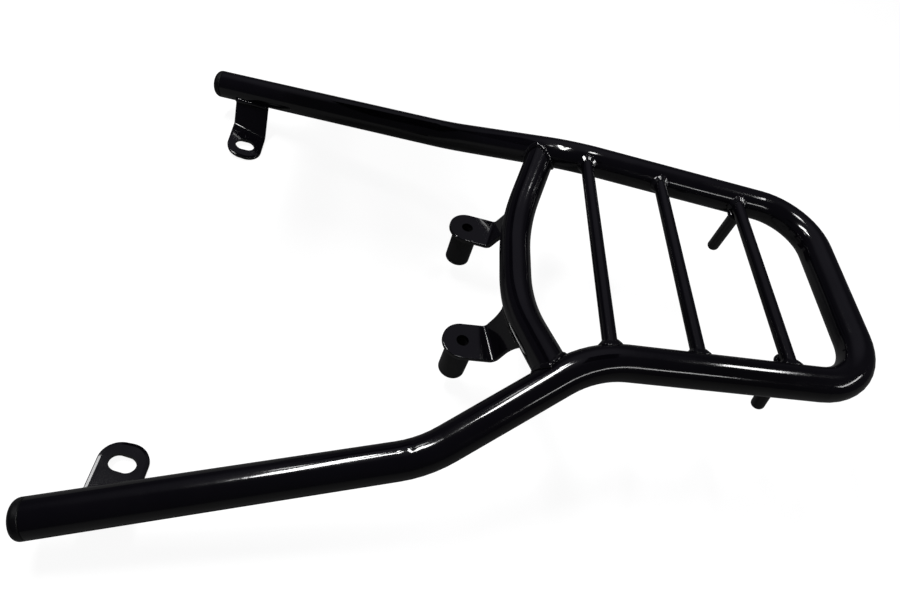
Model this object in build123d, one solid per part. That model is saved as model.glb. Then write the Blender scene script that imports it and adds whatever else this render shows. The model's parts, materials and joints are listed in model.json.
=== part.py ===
from build123d import *
from math import acos, atan2, cos, hypot, radians, sin, sqrt, tan
import os

# Welded luggage rack for a motorcycle's tail. One bent steel tube makes both side arms, the two
# rails and the rear end of the platform. A bowed cross tube ties the rails and carries two bolted
# brackets, three round bars fill the platform and slotted tabs hold the front ends of the arms.
# X points to the motorcycle's right, Y forward and Z up, with the platform level. The origin lies
# midway between the tail bushes, on the level of the faces that sit on the motorcycle.
# All sizes are in millimetres and angles in degrees.

# Main tube, with the corners of its centreline on the right-hand side
tube_diameter = 22.2
tube_wall = 1.5
arm_end_half = 191.2
arm_end_forward = 217.2
arm_end_height = 12.0
knee_half = 143.7
knee_forward = 21.8
knee_height = 45.4
knee_radius = 75.0
platform_height = 91.4
platform_front_half = 90.9
platform_front_back = 64.6
platform_bend_radius = 65.0
platform_rear_half = 77.7
platform_rear_back = 252.6
rear_corner_radius = 40.0

# Bowed cross tube, which meets each arm this far down the slope from the platform bend
cross_tube_diameter = 21.7
cross_tube_wall = 1.5
cross_tube_setback = 23.7
cross_tube_bend_half = 37.2
cross_tube_bend_back = 28.8
cross_tube_bend_height = 61.2
cross_tube_radius = 135.0

# Round bars across the platform, from front to rear
bar_diameter = 9.0
bar_lift = 2.7
bar_backs = (75.1, 132.5, 195.1)

# Luggage cord pegs under the ends of the rear bar
peg_diameter = 9.0
peg_drop = 45.3
peg_lean_out = 9.0
peg_lean_back = 9.0
peg_rail_gap = 0.3
peg_tip_rounding = 3.0

# Tail brackets and the bushes under them
bolt_spacing = 105.0
bush_diameter = 19.0
bush_length = 31.5
bolt_bore = 8.5
bush_chamfer = 0.6
plate_thickness = 3.0
bracket_tip_radius = 13.8
bracket_fold_back = 19.5
bracket_fold_width = 28.0
bracket_fold_skew = 13.0
bracket_lean = 6.0
bracket_top_width = 35.0
bracket_flare_start = 9.0
bracket_fold_radius = 3.0
plate_edge = 0.6

# Slotted tabs under the arms, with each slot this far behind the end of the tube
tab_slot_half = 147.4
tab_setback = 26.3
tab_slot_height = -13.9
tab_pitch = 11.0
tab_rise = -3.0
tab_width = 28.0
tab_end = 13.8
tab_corner_radius = 12.3
tab_roll_width = 2.0
tab_roll_drop = 0.25
tab_fold_back = 18.0
tab_offset = 7.0
tab_fold_radius = 3.0
slot_width = 11.2
slot_length = 15.6
slot_turn = 6.0

# Plastic plugs in the open ends of the arms
cap_flange = 6.5
cap_rounding = 3.6
cap_depth = 16.0
cap_wall = 1.6
cap_fin_count = 3
cap_fin_height = 1.2
cap_fin_width = 1.6
cap_seat_chamfer = 0.9

# Weld beads
tube_bead = 2.2
bar_leg = 3.0
peg_bead = 3.0
plate_bead = 2.4
bush_bead = 2.0
seam_corner = 6.0
pass_lap = 10.0
pass_step = 0.3
weld_stop = 3.2

tube_radius = tube_diameter / 2
cross_radius = cross_tube_diameter / 2
bar_radius = bar_diameter / 2
peg_radius = peg_diameter / 2
plate_top = bush_length + plate_thickness
rear_bar_back = bar_backs[-1]
tab_slot_forward = arm_end_forward - tab_setback


def mirrored(point):
    return Vector(-point.X, point.Y, point.Z)


def largest(shape):
    return shape.solids().sort_by(SortBy.VOLUME)[-1]


def swept(path, section):
    start = Plane(origin=path @ 0, z_dir=path % 0)
    return sweep(start * section, path=path)


def rod(start, end, radius):
    way = end - start
    return Plane(origin=start, z_dir=way) * extrude(Circle(radius), way.length)


def capsule(start, end, radius):
    return rod(start, end, radius) + Pos(*start) * Sphere(radius) + Pos(*end) * Sphere(radius)


# Centrelines
arm_end = Vector(arm_end_half, arm_end_forward, arm_end_height)
knee = Vector(knee_half, knee_forward, knee_height)
platform_bend = Vector(platform_front_half, -platform_front_back, platform_height)
rear_corner = Vector(platform_rear_half, -platform_rear_back, platform_height)
arm_way = (arm_end - knee).normalized()
slope_way = (knee - platform_bend).normalized()
cross_end = platform_bend + slope_way * cross_tube_setback
cross_bend = Vector(cross_tube_bend_half, -cross_tube_bend_back, cross_tube_bend_height)

right_run = [arm_end, knee, platform_bend, rear_corner]
left_run = [mirrored(point) for point in reversed(right_run)]
right_radii = [knee_radius, platform_bend_radius, rear_corner_radius]
main_path = FilletPolyline(*right_run, *left_run, radius=right_radii + right_radii[::-1])
cross_run = [cross_end, cross_bend, mirrored(cross_bend), mirrored(cross_end)]
cross_path = FilletPolyline(*cross_run, radius=cross_tube_radius)


def rail_half(back):
    share = (back - platform_front_back) / (platform_rear_back - platform_front_back)
    return platform_front_half + share * (platform_rear_half - platform_front_half)


# Tubes and bars, each coped to the tube that it is welded to
main_filled = swept(main_path, Circle(tube_radius))
arm_filled = rod(knee, arm_end, tube_radius)
main_tube = swept(main_path, Circle(tube_radius) - Circle(tube_radius - tube_wall))
cross_filled = swept(cross_path, Circle(cross_radius))
cross_section = Circle(cross_radius) - Circle(cross_radius - cross_tube_wall)
cross_tube = largest(swept(cross_path, cross_section) - main_filled)


def cross_bar(back):
    end = Vector(rail_half(back), -back, platform_height + bar_lift)
    return largest(rod(mirrored(end), end, bar_radius) - main_filled)


cross_bars = [cross_bar(back) for back in bar_backs]
rear_bar_height = platform_height + bar_lift

# Peg: its axis starts on the rear bar's axis, close beside the rail
peg_way = Vector(tan(radians(peg_lean_out)), -tan(radians(peg_lean_back)), -1).normalized()
peg_half = rail_half(rear_bar_back) - tube_radius - peg_radius - peg_rail_gap
peg_top = Vector(peg_half, -rear_bar_back, rear_bar_height)
peg_tip = peg_top + peg_way * ((rear_bar_height - platform_height + peg_drop) / -peg_way.Z)
peg_filled = rod(peg_tip, peg_top, peg_radius)


def bungee_peg():
    tip_edge = peg_filled.edges().filter_by(GeomType.CIRCLE).sort_by(Axis.Z)[0]
    return largest(fillet(tip_edge, peg_tip_rounding) - cross_bars[-1] - main_filled)


def end_cap():
    bore = tube_radius - tube_wall
    core = bore - cap_fin_height
    flange = extrude(Circle(tube_radius), cap_flange)
    flange = fillet(flange.edges().sort_by(Axis.Z)[-1], cap_rounding)
    flange = chamfer(flange.edges().sort_by(Axis.Z)[0], cap_seat_chamfer)
    plug = extrude(Circle(core), -cap_depth)
    cap = flange + plug
    pitch = cap_depth / cap_fin_count
    for number in range(cap_fin_count):
        fin = Cone(core, bore, cap_fin_width, align=(Align.CENTER, Align.CENTER, Align.MIN))
        cap += Pos(0, 0, -cap_depth + number * pitch) * fin
    cap -= extrude(Circle(core - cap_wall), -cap_depth)
    return Plane(origin=arm_end, z_dir=arm_way) * cap


def tail_bush():
    blank = extrude(Circle(bush_diameter / 2) - Circle(bolt_bore / 2), bush_length)
    lower_rims = blank.edges().filter_by(GeomType.CIRCLE).group_by(Axis.Z)[0]
    blank = chamfer(lower_rims.sort_by(SortBy.RADIUS)[-1], bush_chamfer)
    return Pos(bolt_spacing / 2, 0, 0) * blank


def folded_sheet(points, fold_way, fold_radius, width):
    path = FilletPolyline(*points, radius=fold_radius + plate_thickness / 2)
    start = Plane(origin=path @ 0, x_dir=fold_way, z_dir=path % 0)
    return sweep(start * Rectangle(width, plate_thickness), path=path)


def eased(plate, cuts):
    """Plate with its outer edges rounded, where its rim was cut square to one of the given ways."""
    rim = ShapeList()
    for face in plate.faces():
        if any(abs(face.normal_at().dot(way)) < 1e-3 for way in cuts):
            rim += face.edges().filter_by(lambda edge: edge.length > 2 * plate_thickness)
    return fillet(rim, plate_edge)


# Tail bracket: a level plate under the bolt, folded up along a skewed line to the cross tube
bolt_hole = Vector(bolt_spacing / 2, 0, plate_top - plate_thickness / 2)
fold_way = Vector(cos(radians(bracket_fold_skew)), -sin(radians(bracket_fold_skew)), 0)
plate_way = Vector(sin(radians(bracket_lean)), cos(radians(bracket_lean)), 0)
fold_square = Vector(-fold_way.Y, fold_way.X, 0)
bracket_fold = bolt_hole - plate_way * bracket_fold_back


def cross_tube_centre(origin, way):
    """Point of the cross tube's right half that lies level with origin along way."""
    near, far = 0.0, 0.5
    for step in range(40):
        middle = (near + far) / 2
        if (cross_path @ middle - origin).dot(way) > 0:
            near = middle
        else:
            far = middle
    return cross_path @ near


riser_top = cross_tube_centre(bracket_fold, fold_way)
riser_way = (riser_top - bracket_fold).normalized()
riser_face = fold_way.cross(riser_way)


def tail_bracket():
    tip = bracket_fold + fold_square * (bracket_fold_back + bracket_tip_radius)
    blank_width = 2 * bracket_top_width
    sheet = folded_sheet([tip, bracket_fold, riser_top], fold_way, bracket_fold_radius, blank_width)
    miter = Plane(origin=bracket_fold, z_dir=(fold_square - riser_way).normalized())
    half = bracket_fold_width / 2

    # Level half: a rounded tip round the bolt hole, widening to where the bend starts
    half_turn = acos(-fold_square.dot(riser_way)) / 2
    bend_run = (bracket_fold_radius + plate_thickness / 2) * tan(half_turn)
    bend_at = bracket_fold + fold_square * bend_run - bolt_hole
    bend_x = bend_at.dot(fold_way)
    bend_y = bend_at.dot(fold_square)
    bend_line = Line((bend_x - half, bend_y), (bend_x + half, bend_y))
    plan = make_hull([*Circle(bracket_tip_radius).edges(), bend_line])
    behind_bend = Rectangle(bracket_fold_width, bracket_fold_back, align=(Align.CENTER, Align.MAX))
    plan += Pos(bend_x, bend_y) * behind_bend
    plan = fillet(plan.vertices().group_by(Axis.Y)[1], bracket_tip_radius)
    plan_plane = Plane(origin=bolt_hole, x_dir=fold_way, z_dir=(0, 0, 1))
    plate = split(sheet, bisect_by=miter, keep=Keep.TOP)
    plate &= plan_plane * extrude(plan, plate_top, both=True)

    # Rising half: straight above the fold, then flared to meet the cross tube
    reach = (riser_top - bracket_fold).length
    seat = reach - cross_radius
    top_half = bracket_top_width / 2
    side = Line((half, -reach), (half, bracket_flare_start))
    flare = TangentArc((half, bracket_flare_start), (top_half, seat), tangent=(0, 1))
    inside = Line(flare @ 1, flare @ 1 + flare % 1 * cross_radius)
    edge = side + flare + inside
    base = Line((-half, -reach), (half, -reach))
    tip = inside @ 1
    top = Line((-tip.X, tip.Y), (tip.X, tip.Y))
    outline = make_face([*edge.edges(), *mirror(edge, about=Plane.YZ).edges(), base, top])
    riser_plane = Plane(origin=bracket_fold, x_dir=fold_way, z_dir=riser_face)
    riser = split(sheet, bisect_by=miter, keep=Keep.BOTTOM)
    riser &= riser_plane * extrude(outline, bracket_fold_back, both=True)
    bracket = eased(plate + riser, [Vector(0, 0, 1), riser_face])
    bolt = Pos(bolt_spacing / 2, 0, 0) * extrude(Circle(bolt_bore / 2), 2 * plate_top)
    return largest(bracket - bolt - cross_filled)


# Front tab: a strip that leans in from the arm's inner underside and folds to a slotted foot
arm_across = Vector(arm_way.Y, -arm_way.X, 0).normalized()
arm_plan = Vector(arm_way.X, arm_way.Y, 0).normalized()
arm_up = arm_across.cross(arm_way)
tab_fold_way = (arm_plan * -cos(radians(tab_pitch)) + Vector(0, 0, -sin(radians(tab_pitch)))).normalized()
tab_slot = Vector(tab_slot_half, tab_slot_forward, tab_slot_height)
foot_way = arm_across * -cos(radians(tab_rise)) + Vector(0, 0, sin(radians(tab_rise)))
foot_way = (foot_way - tab_fold_way * foot_way.dot(tab_fold_way)).normalized()
foot_face = foot_way.cross(tab_fold_way)
tab_fold = tab_slot - foot_way * tab_fold_back


def arm_point(forward):
    return knee + arm_way * ((forward - knee_forward) / arm_way.Y)


tab_drop = sqrt(tube_radius**2 - tab_offset**2)
tab_seat = arm_point(tab_fold.Y) - arm_across * tab_offset - arm_up * tab_drop
strip_way = tab_seat - tab_fold
strip_way = (strip_way - tab_fold_way * strip_way.dot(tab_fold_way)).normalized()
strip_face = strip_way.cross(tab_fold_way)


def strip_seam(forward, face):
    """Lower point where one face of the strip meets the arm, at a station along the arm."""
    centre = arm_point(forward)
    skin = tab_fold + strip_face * (face * plate_thickness / 2)
    inward = -arm_across.dot(strip_face) * tube_radius
    downward = -arm_up.dot(strip_face) * tube_radius
    middle = atan2(inward, downward)
    spread = acos((skin - centre).dot(strip_face) / hypot(inward, downward))
    turns = (middle - spread, middle + spread)
    points = [centre - (arm_across * sin(turn) + arm_up * cos(turn)) * tube_radius for turn in turns]
    return min(points, key=lambda point: point.Z)


def front_tab():
    inner = tab_slot + foot_way * (2 * tab_end)
    top = tab_fold + strip_way * (2 * (tab_seat - tab_fold).length)
    sheet = folded_sheet([inner, tab_fold, top], tab_fold_way, tab_fold_radius, 3 * tab_width)
    sheet = split(sheet, bisect_by=Plane(origin=knee, x_dir=arm_way, z_dir=arm_up), keep=Keep.BOTTOM)
    length = tab_end + arm_end_half - tab_slot_half
    outline = Rectangle(length, tab_width, align=(Align.MIN, Align.CENTER))
    outline = fillet(outline.vertices().group_by(Axis.X)[0], tab_corner_radius)
    prism = Pos(tab_slot_half - tab_end, tab_slot_forward) * extrude(outline, knee_height, both=True)
    blank = largest(sheet & prism)

    # The punch rolls the foot's upper rim over, all round but along the fold
    foot = blank.faces().filter_by(lambda face: face.normal_at().dot(foot_face) > 0.999)[0]
    rim = foot.edges().filter_by(lambda edge: abs((edge % 0.5).dot(tab_fold_way)) < 0.999)
    rolled = chamfer(rim, tab_roll_width, tab_roll_drop, reference=foot)

    slot = SlotOverall(slot_length, slot_width)
    slot_way = Vector(-sin(radians(slot_turn)), cos(radians(slot_turn)), 0)
    slot_way = slot_way - foot_face * foot_face.dot(slot_way)
    slot_plane = Plane(origin=tab_slot, x_dir=slot_way, z_dir=foot_face)
    cutter = slot_plane * extrude(slot, 2 * plate_thickness, both=True)
    return largest(eased(rolled, [Vector(0, 0, 1)]) - cutter - main_filled)


# Weld beads: smooth runs of filler metal along each seam, cut to the pieces that they join
def cross_tube_weld():
    """Bead round the saddle where the cross tube meets the right arm, laid in two lapped passes."""
    way = (cross_bend - cross_end).normalized()
    side = slope_way.cross(way).normalized()
    over = way.cross(side)
    way_flat = way - slope_way * way.dot(slope_way)

    def seam(angle):
        spoke = (side * cos(radians(angle)) + over * sin(radians(angle))) * cross_radius
        spoke_flat = spoke - slope_way * spoke.dot(slope_way)
        square = way_flat.dot(way_flat)
        linear = spoke_flat.dot(way_flat)
        rest = spoke_flat.dot(spoke_flat) - tube_radius**2
        run = (sqrt(linear**2 - square * rest) - linear) / square
        return cross_end + spoke + way * run

    def laid(start, end, radius):
        points = [seam(start + (end - start) * step / 6) for step in range(7)]
        return swept(FilletPolyline(*points, radius=seam_corner), Circle(radius))

    under = laid(0, 180, tube_bead)
    over_lap = laid(180 - pass_lap, 360 + pass_lap, tube_bead - pass_step)
    return largest(under + over_lap - main_filled - cross_filled)


def bar_weld(back, bar):
    end = Vector(rail_half(back), -back, platform_height + bar_lift)
    rail = main_filled & Pos(*end) * Box(*[4 * tube_radius] * 3)
    stub = rod(end - Vector(2 * tube_radius, 0, 0), end, bar_radius)
    joint = rail + stub
    seam = new_edges(rail, stub, combined=joint)
    filler = largest(chamfer(seam, bar_leg) - main_filled)
    return largest(filler - bar - peg_filled)


def bush_weld(bracket):
    ring = Pos(bolt_spacing / 2, 0, bush_length) * Torus(bush_diameter / 2, bush_bead)
    core = Pos(bolt_spacing / 2, 0, 0) * extrude(Circle(bush_diameter / 2), plate_top)
    return largest(ring - core - bracket)


def peg_weld(rear_bar_weld):
    seat = peg_top + peg_way * bar_radius
    ring = Plane(origin=seat, z_dir=peg_way) * Torus(peg_radius, peg_bead)
    return largest(ring - peg_filled - main_filled - cross_bars[-1] - rear_bar_weld)


def tab_weld(tab):
    runs = []
    half_run = tab_width / 2 - weld_stop
    for face in (-1, 1):
        ends = [strip_seam(tab_slot_forward + edge * half_run, face) for edge in (-1, 1)]
        runs.append(largest(capsule(*ends, plate_bead) - arm_filled - tab))
    return Compound(runs)


def bracket_weld(bracket):
    runs = []
    half_run = bracket_top_width / 2 - weld_stop
    for face in (-1, 1):
        points = []
        for edge in (-1, 0, 1):
            level = bracket_fold + fold_way * (edge * half_run)
            centre = cross_tube_centre(level, fold_way)
            spoke = (level - centre).normalized()
            points.append(centre + spoke * cross_radius + riser_face * (face * plate_thickness / 2))
        run = swept(ThreePointArc(*points), Circle(plate_bead))
        run += Pos(*points[0]) * Sphere(plate_bead)
        run += Pos(*points[2]) * Sphere(plate_bead)
        runs.append(largest(run - cross_filled - bracket))
    return Compound(runs)


nodes = {"main_tube": main_tube, "cross_tube": cross_tube}
for number, bar in enumerate(cross_bars, 1):
    nodes[f"cross_bar_{number}"] = bar
pairs = {"bungee_peg": bungee_peg(), "end_cap": end_cap(), "tail_bush": tail_bush()}
pairs["tail_bracket"] = tail_bracket()
pairs["front_tab"] = front_tab()
pairs["cross_tube_weld"] = cross_tube_weld()
for number, bar in enumerate(cross_bars, 1):
    pairs[f"bar_weld_{number}"] = bar_weld(bar_backs[number - 1], bar)
pairs["bush_weld"] = bush_weld(pairs["tail_bracket"])
pairs["peg_weld"] = peg_weld(pairs[f"bar_weld_{len(cross_bars)}"])
pairs["tab_weld"] = tab_weld(pairs["front_tab"])
pairs["bracket_weld"] = bracket_weld(pairs["tail_bracket"])
for name, right in pairs.items():
    nodes[f"{name}_right"] = right
    nodes[f"{name}_left"] = mirror(right, about=Plane.YZ)

os.makedirs("parts", exist_ok=True)
for name, shape in nodes.items():
    shape.label = name
    export_step(shape, f"parts/{name}.step")
    print(name, shape.is_valid, round(shape.volume))
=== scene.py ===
import json
import math

import bmesh
import bpy
import numpy as np
from mathutils import Matrix, Vector


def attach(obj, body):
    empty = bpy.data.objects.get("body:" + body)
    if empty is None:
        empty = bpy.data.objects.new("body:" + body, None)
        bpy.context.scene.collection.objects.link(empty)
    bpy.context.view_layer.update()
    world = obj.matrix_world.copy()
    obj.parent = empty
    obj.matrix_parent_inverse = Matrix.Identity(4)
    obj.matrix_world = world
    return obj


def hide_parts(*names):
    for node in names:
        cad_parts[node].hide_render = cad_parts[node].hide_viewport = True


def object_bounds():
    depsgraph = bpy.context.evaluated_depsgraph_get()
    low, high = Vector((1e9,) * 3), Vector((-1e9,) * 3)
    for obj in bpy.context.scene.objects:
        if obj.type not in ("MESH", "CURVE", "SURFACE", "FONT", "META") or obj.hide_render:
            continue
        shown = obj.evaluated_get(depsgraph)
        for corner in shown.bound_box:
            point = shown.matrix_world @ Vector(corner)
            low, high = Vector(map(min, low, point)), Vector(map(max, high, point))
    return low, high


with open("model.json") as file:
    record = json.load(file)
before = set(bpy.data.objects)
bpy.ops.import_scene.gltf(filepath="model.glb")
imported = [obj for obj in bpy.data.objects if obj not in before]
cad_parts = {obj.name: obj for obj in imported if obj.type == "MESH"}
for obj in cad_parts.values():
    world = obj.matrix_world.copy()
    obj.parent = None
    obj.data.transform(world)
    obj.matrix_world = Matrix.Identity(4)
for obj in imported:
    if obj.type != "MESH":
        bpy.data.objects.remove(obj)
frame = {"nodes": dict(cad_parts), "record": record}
cadNodes = frame["nodes"]
cadLow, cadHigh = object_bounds()
sides = ("right", "left")
print("frame loaded with", len(cadNodes), "pieces")


# small helpers for objects, materials and node trees
def putObject(name, data):
    thing = bpy.data.objects.new(name, data)
    bpy.context.scene.collection.objects.link(thing)
    return thing


def newMaterial(name):
    material = bpy.data.materials.new(name)
    material.use_nodes = True
    return material


def grey(tone):
    return (tone, tone, tone, 1.0)


def addNode(tree, kind, **settings):
    node = tree.nodes.new(kind)
    for name, value in settings.items():
        setattr(node, name, value)
    return node


def join(tree, source, target):
    tree.links.new(source, target)


def setValues(node, values):
    for name, value in values.items():
        node.inputs[name].default_value = value


def openSockets(tree, inputs, outputs):
    for name, kind in inputs:
        tree.interface.new_socket(name, in_out="INPUT", socket_type=kind)
    for name, kind in outputs:
        tree.interface.new_socket(name, in_out="OUTPUT", socket_type=kind)
    return addNode(tree, "NodeGroupInput"), addNode(tree, "NodeGroupOutput")


def mathNode(tree, operation, first, second=None):
    node = addNode(tree, "ShaderNodeMath", operation=operation)
    for place, value in enumerate((first, second)):
        if value is None:
            continue
        if isinstance(value, (int, float)):
            node.inputs[place].default_value = value
        else:
            join(tree, value, node.inputs[place])
    return node.outputs[0]


def vectorNode(tree, operation, first, second=None):
    node = addNode(tree, "ShaderNodeVectorMath", operation=operation)
    join(tree, first, node.inputs[0])
    if second is not None:
        join(tree, second, node.inputs[1])
    return node


def noiseNode(tree, vector, scale, detail, roughness):
    node = addNode(tree, "ShaderNodeTexNoise")
    join(tree, vector, node.inputs["Vector"])
    join(tree, scale, node.inputs["Scale"])
    setValues(node, {"Detail": detail, "Roughness": roughness})
    return node.outputs["Fac"]


# shared effect: the skin of a sprayed and baked coat, fine peel over long soft waves
skinLook = {"peelDetail": 2.0, "waveDetail": 1.0, "roughness": 0.5}


def makeCoatSkin():
    tree = bpy.data.node_groups.new("coatSkin", "ShaderNodeTree")
    inputs = [
        ("Vector", "NodeSocketVector"),
        ("Peel Scale", "NodeSocketFloat"),
        ("Wave Scale", "NodeSocketFloat"),
        ("Peel Share", "NodeSocketFloat"),
    ]
    start, end = openSockets(tree, inputs, [("Height", "NodeSocketFloat")])
    at = start.outputs
    rough = skinLook["roughness"]
    peel = noiseNode(tree, at["Vector"], at["Peel Scale"], skinLook["peelDetail"], rough)
    wave = noiseNode(tree, at["Vector"], at["Wave Scale"], skinLook["waveDetail"], rough)
    peelPart = mathNode(tree, "MULTIPLY", peel, at["Peel Share"])
    join(tree, mathNode(tree, "ADD", peelPart, wave), end.inputs["Height"])
    return tree


# shared effect: uneven tone and gloss, as thick and thin places of a coat give
toneLook = {"detail": 3.0, "roughness": 0.6, "patchRange": (0.3, 0.7)}


def makeCoatTone():
    tree = bpy.data.node_groups.new("coatTone", "ShaderNodeTree")
    inputs = [
        ("Vector", "NodeSocketVector"),
        ("Deep", "NodeSocketColor"),
        ("Thin", "NodeSocketColor"),
        ("Patch Scale", "NodeSocketFloat"),
        ("Gloss Low", "NodeSocketFloat"),
        ("Gloss High", "NodeSocketFloat"),
    ]
    outputs = [("Color", "NodeSocketColor"), ("Roughness", "NodeSocketFloat")]
    start, end = openSockets(tree, inputs, outputs)
    at = start.outputs
    patch = noiseNode(tree, at["Vector"], at["Patch Scale"], toneLook["detail"], toneLook["roughness"])
    blend = addNode(tree, "ShaderNodeMix", data_type="RGBA")
    join(tree, patch, blend.inputs["Factor"])
    join(tree, at["Deep"], blend.inputs["A"])
    join(tree, at["Thin"], blend.inputs["B"])
    spread = addNode(tree, "ShaderNodeMapRange")
    join(tree, patch, spread.inputs["Value"])
    low, high = toneLook["patchRange"]
    setValues(spread, {"From Min": low, "From Max": high})
    join(tree, at["Gloss Low"], spread.inputs["To Min"])
    join(tree, at["Gloss High"], spread.inputs["To Max"])
    join(tree, blend.outputs["Result"], end.inputs["Color"])
    join(tree, spread.outputs["Result"], end.inputs["Roughness"])
    return tree


# shared effect: the shallow crease that a tube bender leaves inside a bend, the same on both sides
def makeBendMark():
    tree = bpy.data.node_groups.new("bendMark", "ShaderNodeTree")
    inputs = [
        ("Vector", "NodeSocketVector"),
        ("Centre", "NodeSocketVector"),
        ("Axis", "NodeSocketVector"),
        ("Width", "NodeSocketFloat"),
        ("Reach", "NodeSocketFloat"),
        ("Depth", "NodeSocketFloat"),
    ]
    start, end = openSockets(tree, inputs, [("Height", "NodeSocketFloat")])
    at = start.outputs
    split = addNode(tree, "ShaderNodeSeparateXYZ")
    join(tree, at["Vector"], split.inputs[0])
    folded = addNode(tree, "ShaderNodeCombineXYZ")
    join(tree, mathNode(tree, "ABSOLUTE", split.outputs["X"]), folded.inputs["X"])
    join(tree, split.outputs["Y"], folded.inputs["Y"])
    join(tree, split.outputs["Z"], folded.inputs["Z"])
    offset = vectorNode(tree, "SUBTRACT", folded.outputs[0], at["Centre"]).outputs["Vector"]
    along = vectorNode(tree, "DOT_PRODUCT", offset, at["Axis"]).outputs["Value"]
    steps = mathNode(tree, "DIVIDE", along, at["Width"])
    square = mathNode(tree, "MULTIPLY", steps, steps)
    groove = mathNode(tree, "EXPONENT", mathNode(tree, "MULTIPLY", square, -1.0))
    away = vectorNode(tree, "LENGTH", offset).outputs["Value"]
    fade = addNode(tree, "ShaderNodeMapRange", interpolation_type="SMOOTHSTEP")
    join(tree, mathNode(tree, "DIVIDE", away, at["Reach"]), fade.inputs["Value"])
    setValues(fade, {"To Min": 1.0, "To Max": 0.0})
    shape = mathNode(tree, "MULTIPLY", groove, fade.outputs["Result"])
    deep = mathNode(tree, "MULTIPLY", shape, at["Depth"])
    join(tree, mathNode(tree, "MULTIPLY", deep, -1.0), end.inputs["Height"])
    return tree


coatSkin = makeCoatSkin()
coatTone = makeCoatTone()
bendMark = makeBendMark()


def makeCoat(name, look):
    material = newMaterial(name)
    tree = material.node_tree
    shader = tree.nodes["Principled BSDF"]
    setValues(shader, {"IOR": look["ior"]})
    place = addNode(tree, "ShaderNodeTexCoord").outputs["Object"]
    tone = addNode(tree, "ShaderNodeGroup", node_tree=coatTone)
    join(tree, place, tone.inputs["Vector"])
    setValues(tone, {
        "Deep": (*look["deep"], 1.0), "Thin": (*look["thin"], 1.0), "Patch Scale": look["patchScale"],
        "Gloss Low": look["roughness"][0], "Gloss High": look["roughness"][1],
    })
    join(tree, tone.outputs["Color"], shader.inputs["Base Color"])
    join(tree, tone.outputs["Roughness"], shader.inputs["Roughness"])
    skin = addNode(tree, "ShaderNodeGroup", node_tree=coatSkin)
    join(tree, place, skin.inputs["Vector"])
    setValues(skin, {
        "Peel Scale": look["peelScale"],
        "Wave Scale": look["waveScale"],
        "Peel Share": look["peelShare"],
    })
    height = skin.outputs["Height"]
    if "crease" in look:
        mark = look["crease"]
        crease = addNode(tree, "ShaderNodeGroup", node_tree=bendMark)
        join(tree, place, crease.inputs["Vector"])
        setValues(crease, {
            "Centre": mark["centre"], "Axis": mark["axis"], "Width": mark["width"],
            "Reach": mark["reach"], "Depth": mark["depth"] / look["relief"],
        })
        height = mathNode(tree, "ADD", height, crease.outputs["Height"])
    bump = addNode(tree, "ShaderNodeBump")
    setValues(bump, {"Strength": 1.0, "Distance": look["relief"]})
    join(tree, height, bump.inputs["Height"])
    join(tree, bump.outputs["Normal"], shader.inputs["Normal"])
    return material


glossPaint = makeCoat("glossBlackPaint", {
    "deep": (0.0012, 0.0010, 0.0020),
    "thin": (0.0026, 0.0023, 0.0036),
    "patchScale": 38.0,
    "roughness": (0.07, 0.12),
    "peelScale": 560.0,  # a grain of about 2 mm
    "waveScale": 55.0,
    "peelShare": 0.13,
    "relief": 0.00009,
    "ior": 1.6,
    "crease": {"centre": (0.1455, 0.0315, 0.0552), "axis": (-0.145, -0.965, 0.217),
               "width": 0.0030, "reach": 0.016, "depth": 0.00030},
})
weldPaint = makeCoat("weldBlackPaint", {
    "deep": (0.0012, 0.0010, 0.0020),
    "thin": (0.0030, 0.0027, 0.0040),
    "patchScale": 160.0,
    "roughness": (0.08, 0.15),
    "peelScale": 900.0,
    "waveScale": 240.0,
    "peelShare": 0.4,
    "relief": 0.00005,
    "ior": 1.6,
})
satinPaint = makeCoat("satinBlackPaint", {
    "deep": (0.0055, 0.0053, 0.0062),
    "thin": (0.0095, 0.0092, 0.0102),
    "patchScale": 120.0,
    "roughness": (0.42, 0.52),
    "peelScale": 1400.0,
    "waveScale": 180.0,
    "peelShare": 0.7,
    "relief": 0.00006,
    "ior": 1.5,
})
capPlastic = makeCoat("capPlastic", {
    "deep": (0.0016, 0.0016, 0.0020),
    "thin": (0.0030, 0.0030, 0.0036),
    "patchScale": 220.0,
    "roughness": (0.28, 0.38),
    "peelScale": 2200.0,
    "waveScale": 300.0,
    "peelShare": 1.2,
    "relief": 0.00004,
    "ior": 1.46,
})
finishes = {
    "frame_paint": glossPaint,
    "weld_paint": weldPaint,
    "bush_paint": satinPaint,
    "cap_plastic": capPlastic,
}
print("coats mixed:", ", ".join(finish.name for finish in finishes.values()))

slotOf = {row["node"]: row["material_slot"] for row in frame["record"]["subparts"]}
for name, piece in cadNodes.items():
    piece.material_slots[0].material = finishes[slotOf[name]]
print("coats laid on the frame")


# weld beads: each smooth bead of the frame gets the ripples that the welder's puddle leaves
beads = {
    "cross_tube_weld": {"ring": True, "pitch": 0.0022, "height": 9e-5, "rounds": 14, "swell": 1.8e-4},
    "bar_weld_1": {"ring": True, "pitch": 0.0021, "height": 6e-5, "rounds": 24, "swell": 1.8e-4},
    "bar_weld_2": {"ring": True, "pitch": 0.0021, "height": 6e-5, "rounds": 24, "swell": 1.8e-4},
    "bar_weld_3": {"ring": True, "pitch": 0.0021, "height": 6e-5, "rounds": 24, "swell": 1.8e-4},
    "peg_weld": {"ring": True, "pitch": 0.0022, "height": 6e-5, "rounds": 40, "swell": -9e-4},
    "bush_weld": {"ring": True, "pitch": 0.0021, "height": 8e-5, "rounds": 8, "swell": 1.8e-4},
    "tab_weld": {"ring": False, "pitch": 0.0022, "height": 1e-4, "rounds": 8, "swell": 1.8e-4},
    "bracket_weld": {"ring": False, "pitch": 0.0022, "height": 1e-4, "rounds": 8, "swell": 1.8e-4},
}
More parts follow.
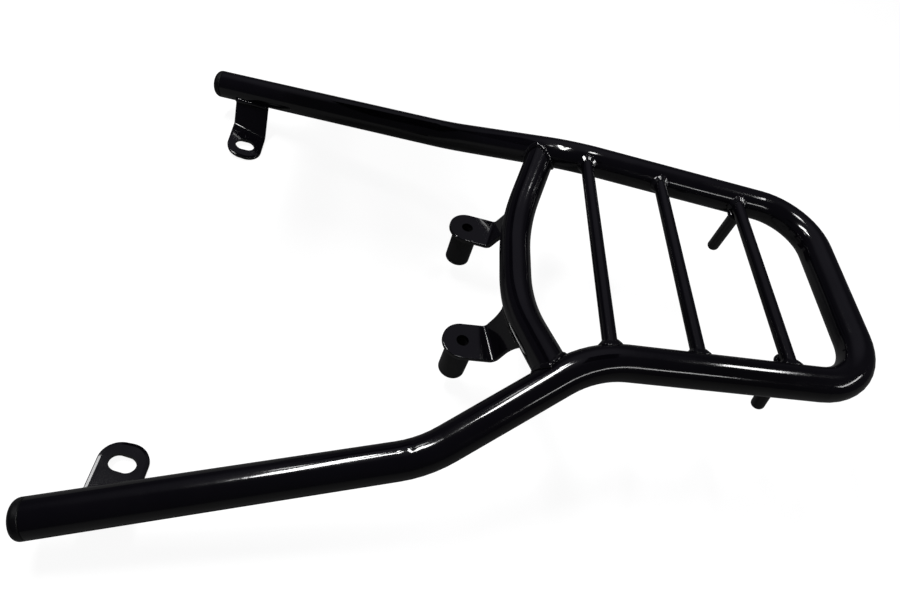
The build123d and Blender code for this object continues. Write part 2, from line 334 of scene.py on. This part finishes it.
puddle = {
    "mergeGap": 1e-6,
    "voxel": 0.0003,
    "wander": 0.6,  # share of a ripple that the puddle strays
    "strayScale": 210.0,
    "strayDetail": 1.0,
    "crest": 0.6,  # share of a ripple's height above the bead
    "seedStep": 7.3,
}


def makeRippleTree():
    tree = bpy.data.node_groups.new("weldRipples", "GeometryNodeTree")
    inputs = [
        ("Geometry", "NodeSocketGeometry"),
        ("Centre", "NodeSocketVector"),
        ("Axis", "NodeSocketVector"),
        ("Side", "NodeSocketVector"),
        ("Ring Radius", "NodeSocketFloat"),
        ("Is Ring", "NodeSocketBool"),
        ("Pitch", "NodeSocketFloat"),
        ("Height", "NodeSocketFloat"),
        ("Swell", "NodeSocketFloat"),
        ("Wander", "NodeSocketFloat"),
        ("Seed", "NodeSocketFloat"),
        ("Paint", "NodeSocketMaterial"),
    ]
    start, end = openSockets(tree, inputs, [("Geometry", "NodeSocketGeometry")])
    at = start.outputs
    spot = addNode(tree, "GeometryNodeInputPosition").outputs[0]
    offset = vectorNode(tree, "SUBTRACT", spot, at["Centre"]).outputs["Vector"]
    along = vectorNode(tree, "DOT_PRODUCT", offset, at["Axis"]).outputs["Value"]
    across = vectorNode(tree, "DOT_PRODUCT", offset, at["Side"]).outputs["Value"]
    third = vectorNode(tree, "CROSS_PRODUCT", at["Axis"], at["Side"]).outputs["Vector"]
    over = vectorNode(tree, "DOT_PRODUCT", offset, third).outputs["Value"]
    angle = mathNode(tree, "ARCTAN2", over, across)
    arc = mathNode(tree, "MULTIPLY", angle, at["Ring Radius"])
    run = addNode(tree, "GeometryNodeSwitch", input_type="FLOAT")
    join(tree, at["Is Ring"], run.inputs["Switch"])
    join(tree, along, run.inputs["False"])
    join(tree, arc, run.inputs["True"])
    stray = addNode(tree, "ShaderNodeTexNoise", noise_dimensions="4D")
    join(tree, spot, stray.inputs["Vector"])
    join(tree, at["Seed"], stray.inputs["W"])
    setValues(stray, {"Scale": puddle["strayScale"], "Detail": puddle["strayDetail"]})
    shift = mathNode(tree, "MULTIPLY", stray.outputs["Fac"], at["Wander"])
    turns = mathNode(tree, "ADD", mathNode(tree, "DIVIDE", run.outputs["Output"], at["Pitch"]), shift)
    saw = mathNode(tree, "FRACT", turns)
    # a parabola over each ripple: round crests with tight valleys between them
    centred = mathNode(tree, "SUBTRACT", mathNode(tree, "MULTIPLY", saw, 2.0), 1.0)
    crest = mathNode(tree, "SUBTRACT", puddle["crest"], mathNode(tree, "MULTIPLY", centred, centred))
    lift = mathNode(tree, "MULTIPLY", crest, at["Height"])
    push = mathNode(tree, "ADD", lift, at["Swell"])
    normal = addNode(tree, "GeometryNodeInputNormal").outputs[0]
    scaled = vectorNode(tree, "SCALE", normal)
    join(tree, push, scaled.inputs["Scale"])
    moved = addNode(tree, "GeometryNodeSetPosition")
    join(tree, at["Geometry"], moved.inputs["Geometry"])
    join(tree, scaled.outputs["Vector"], moved.inputs["Offset"])
    smooth = addNode(tree, "GeometryNodeSetShadeSmooth")
    join(tree, moved.outputs["Geometry"], smooth.inputs["Geometry"])
    real = addNode(tree, "GeometryNodeRealizeInstances")
    join(tree, smooth.outputs["Geometry"], real.inputs["Geometry"])
    painted = addNode(tree, "GeometryNodeSetMaterial")
    join(tree, real.outputs["Geometry"], painted.inputs["Geometry"])
    join(tree, at["Paint"], painted.inputs["Material"])
    join(tree, painted.outputs["Geometry"], end.inputs["Geometry"])
    return tree


rippleTree = makeRippleTree()


def setInputs(modifier, values):
    names = {item.name: item.identifier for item in modifier.node_group.interface.items_tree
             if item.item_type == "SOCKET" and item.in_out == "INPUT"}
    for name, value in values.items():
        modifier[names[name]] = value


def mergedCopy(node, name):
    mesh = cadNodes[node].data.copy()
    mesh.name = name
    work = bmesh.new()
    work.from_mesh(mesh)
    bmesh.ops.remove_doubles(work, verts=work.verts, dist=puddle["mergeGap"])
    work.to_mesh(mesh)
    work.free()
    mesh.normals_split_custom_set([(0.0, 0.0, 0.0)] * len(mesh.loops))
    return mesh


def beadAxes(mesh, isRing):
    spots = np.array([vertex.co for vertex in mesh.vertices])
    centre = (spots.min(0) + spots.max(0)) / 2
    # rows, from the flattest way to the longest
    spread = np.linalg.eigh(np.cov((spots - centre).T))[1].T
    axis, side = (spread[0], spread[2]) if isRing else (spread[2], spread[0])
    flat = spots - centre - np.outer((spots - centre) @ axis, axis)
    return Vector(centre), Vector(axis), Vector(side), float(np.linalg.norm(flat, axis=1).mean())


def layBead(kind, side, seed):
    node = f"{kind}_{side}"
    look = beads[kind]
    mesh = mergedCopy(node, node + "_bead")
    centre, axis, across, radius = beadAxes(mesh, look["ring"])
    rough = putObject(node + "_rough", mesh)
    remesh = rough.modifiers.new("fineGrid", "REMESH")
    remesh.mode = "VOXEL"
    remesh.voxel_size = puddle["voxel"]
    soften = rough.modifiers.new("soften", "SMOOTH")
    soften.iterations = look["rounds"]
    ripple = rough.modifiers.new("ripples", "NODES")
    ripple.node_group = rippleTree
    setInputs(ripple, {
        "Centre": centre, "Axis": axis, "Side": across, "Ring Radius": radius, "Is Ring": look["ring"],
        "Pitch": look["pitch"], "Height": look["height"], "Swell": look["swell"],
        "Wander": puddle["wander"], "Seed": float(seed), "Paint": weldPaint,
    })
    grown = bpy.data.meshes.new_from_object(rough.evaluated_get(bpy.context.evaluated_depsgraph_get()))
    bpy.data.objects.remove(rough)
    grown.name = node + "_bead"
    bead = putObject(node + "_bead", grown)
    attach(bead, "root")
    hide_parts(node)
    return len(grown.polygons)


beadFaces = 0
for number, kind in enumerate(beads):
    for hand, side in enumerate(sides):
        beadFaces += layBead(kind, side, puddle["seedStep"] * (2 * number + hand))
print("weld beads laid with", beadFaces, "faces")


# stage: a level rectangle serves as the floor and as the cards
def layRectangle(name, place, size, material):
    x, y, z = place
    halfLong, halfWide = size[0] / 2, size[1] / 2
    corners = [(x - halfLong, y - halfWide, z), (x + halfLong, y - halfWide, z),
               (x + halfLong, y + halfWide, z), (x - halfLong, y + halfWide, z)]
    mesh = bpy.data.meshes.new(name)
    mesh.from_pydata(corners, [], [(0, 1, 2, 3)])
    mesh.materials.append(material)
    return putObject(name, mesh)


# floor: wide and pale, just under the lowest point
floorLook = {
    "size": (24.0, 24.0),
    "gap": 0.0006,
    "albedo": 0.18,
    "glow": 0.93,  # with the lit floor this comes to white
    "mirrorGlow": 0.03,  # what the paint mirrors of it
    "mirrorAlbedo": 0.08,
}


def makeFloor():
    material = newMaterial("paleFloor")
    tree = material.node_tree
    tree.nodes.remove(tree.nodes["Principled BSDF"])
    out = tree.nodes["Material Output"]
    matt = addNode(tree, "ShaderNodeBsdfDiffuse")
    path = addNode(tree, "ShaderNodeLightPath")
    tone = addNode(tree, "ShaderNodeMix", data_type="RGBA")
    join(tree, path.outputs["Is Glossy Ray"], tone.inputs["Factor"])
    setValues(tone, {"A": grey(floorLook["albedo"]), "B": grey(floorLook["mirrorAlbedo"])})
    join(tree, tone.outputs["Result"], matt.inputs["Color"])
    glow = addNode(tree, "ShaderNodeEmission")
    straight = mathNode(tree, "MULTIPLY", path.outputs["Is Camera Ray"], floorLook["glow"])
    bent = mathNode(tree, "MAXIMUM", path.outputs["Is Glossy Ray"], path.outputs["Is Transmission Ray"])
    mirrored = mathNode(tree, "MULTIPLY", bent, floorLook["mirrorGlow"])
    join(tree, mathNode(tree, "ADD", straight, mirrored), glow.inputs["Strength"])
    both = addNode(tree, "ShaderNodeAddShader")
    join(tree, matt.outputs[0], both.inputs[0])
    join(tree, glow.outputs[0], both.inputs[1])
    join(tree, both.outputs[0], out.inputs["Surface"])
    level = cadLow.z - floorLook["gap"]
    floor = layRectangle("floor", (0.0, 0.0, level), floorLook["size"], material)


makeFloor()

# lamps: panels that hang level over the rack and shine straight down
lamps = {
    "frontPanel": {"place": (0.192, 0.378, 0.90), "size": (0.475, 0.086), "turn": -12.0, "glow": 40.0},
    "slopePanel": {"place": (0.11, 0.31, 0.90), "size": (0.36, 0.06), "turn": -33.0, "glow": 34.0},
    "tabStrip": {"place": (0.206, 0.356, 0.60), "size": (0.08, 0.045), "turn": 0.0, "glow": 10.0},
    "rearPanel": {"place": (0.120, -0.541, 0.60), "size": (0.126, 0.096), "turn": -12.0, "glow": 22.0},
    "highPanel": {"place": (0.477, -0.302, 2.263), "size": (0.40, 0.27), "turn": -15.0, "glow": 18.0},
    "sideWindow": {"place": (-2.02, -1.43, 1.50), "size": (0.99, 0.30), "turn": -55.0, "glow": 8.0},
    "backWindow": {"place": (-0.33, -2.52, 1.48), "size": (1.55, 0.30), "turn": -10.0, "glow": 8.0},
}


def hangLamp(name, look):
    lamp = bpy.data.lights.new(name, "AREA")
    lamp.shape = "RECTANGLE"
    lamp.size, lamp.size_y = look["size"]
    lamp.energy = look["glow"] * look["size"][0] * look["size"][1] * math.pi
    holder = putObject(name, lamp)
    holder.location = look["place"]
    holder.rotation_euler = (0.0, 0.0, math.radians(look["turn"]))
    holder.visible_camera = False


for name, look in lamps.items():
    hangLamp(name, look)

# small black cards keep a panel out of a tube that the photograph shows dark
cards = {
    "farArmCard": {"place": (0.155, 0.135, 0.20), "size": (0.20, 0.14), "tone": 0.01},
    "nearBendCard": {"place": (-0.064, -0.080, 0.22), "size": (0.06, 0.065), "tone": 0.01},
}


def hangCard(name, look):
    material = newMaterial(name)
    shader = material.node_tree.nodes["Principled BSDF"]
    setValues(shader, {"Base Color": grey(look["tone"]), "Roughness": 1.0})
    holder = layRectangle(name, look["place"], look["size"], material)
    holder.visible_camera = False


for name, look in cards.items():
    hangCard(name, look)

# room: dim walls with one paler patch of ceiling, and white where the camera looks past the floor
roomLook = {
    "walls": (0.028, 0.027, 0.033),
    "ceiling": (0.125, 0.121, 0.145),
    "patch": (0.56, 0.08, 0.82),
    "edge": (0.74, 0.99),
    "backdrop": (1.0, 1.0, 1.0),
}


def makeRoom():
    room = bpy.data.worlds.new("room")
    room.use_nodes = True
    tree = room.node_tree
    heading = addNode(tree, "ShaderNodeVectorMath", operation="DOT_PRODUCT")
    join(tree, addNode(tree, "ShaderNodeTexCoord").outputs["Generated"], heading.inputs[0])
    heading.inputs[1].default_value = roomLook["patch"]
    upward = addNode(tree, "ShaderNodeMapRange", interpolation_type="SMOOTHSTEP")
    join(tree, heading.outputs["Value"], upward.inputs["Value"])
    setValues(upward, {"From Min": roomLook["edge"][0], "From Max": roomLook["edge"][1]})
    tint = addNode(tree, "ShaderNodeMix", data_type="RGBA")
    join(tree, upward.outputs["Result"], tint.inputs["Factor"])
    setValues(tint, {"A": (*roomLook["walls"], 1.0), "B": (*roomLook["ceiling"], 1.0)})
    seen = addNode(tree, "ShaderNodeMix", data_type="RGBA")
    join(tree, addNode(tree, "ShaderNodeLightPath").outputs["Is Camera Ray"], seen.inputs["Factor"])
    join(tree, tint.outputs["Result"], seen.inputs["A"])
    setValues(seen, {"B": (*roomLook["backdrop"], 1.0)})
    join(tree, seen.outputs["Result"], tree.nodes["Background"].inputs["Color"])
    return room


bpy.context.scene.world = makeRoom()
print("floor, lamps and room set")

# camera: where the photograph was taken from
shot = {
    "place": (-0.29695, 0.07591, 0.37888),
    "aim": (-0.06623, 0.02105, 0.09140),
    "roll": 20.57,  # degrees, clockwise as seen
    "focalPixels": 643.7,
    "framePixels": 900.0,
    "sensor": 36.0,
    "nearest": 0.01,
}
camera = bpy.data.cameras.new("camera")
camera.sensor_width = shot["sensor"]
camera.lens = shot["focalPixels"] / shot["framePixels"] * shot["sensor"]
camera.clip_start = shot["nearest"]
viewer = putObject("camera", camera)
gaze = (Vector(shot["aim"]) - Vector(shot["place"])).normalized()
level = gaze.to_track_quat("-Z", "Y").to_matrix().to_4x4()
rolled = level @ Matrix.Rotation(math.radians(shot["roll"]), 4, "Z")
viewer.matrix_world = Matrix.Translation(shot["place"]) @ rolled
bpy.context.scene.camera = viewer
bpy.context.scene.view_settings.view_transform = "Standard"
print("camera placed")
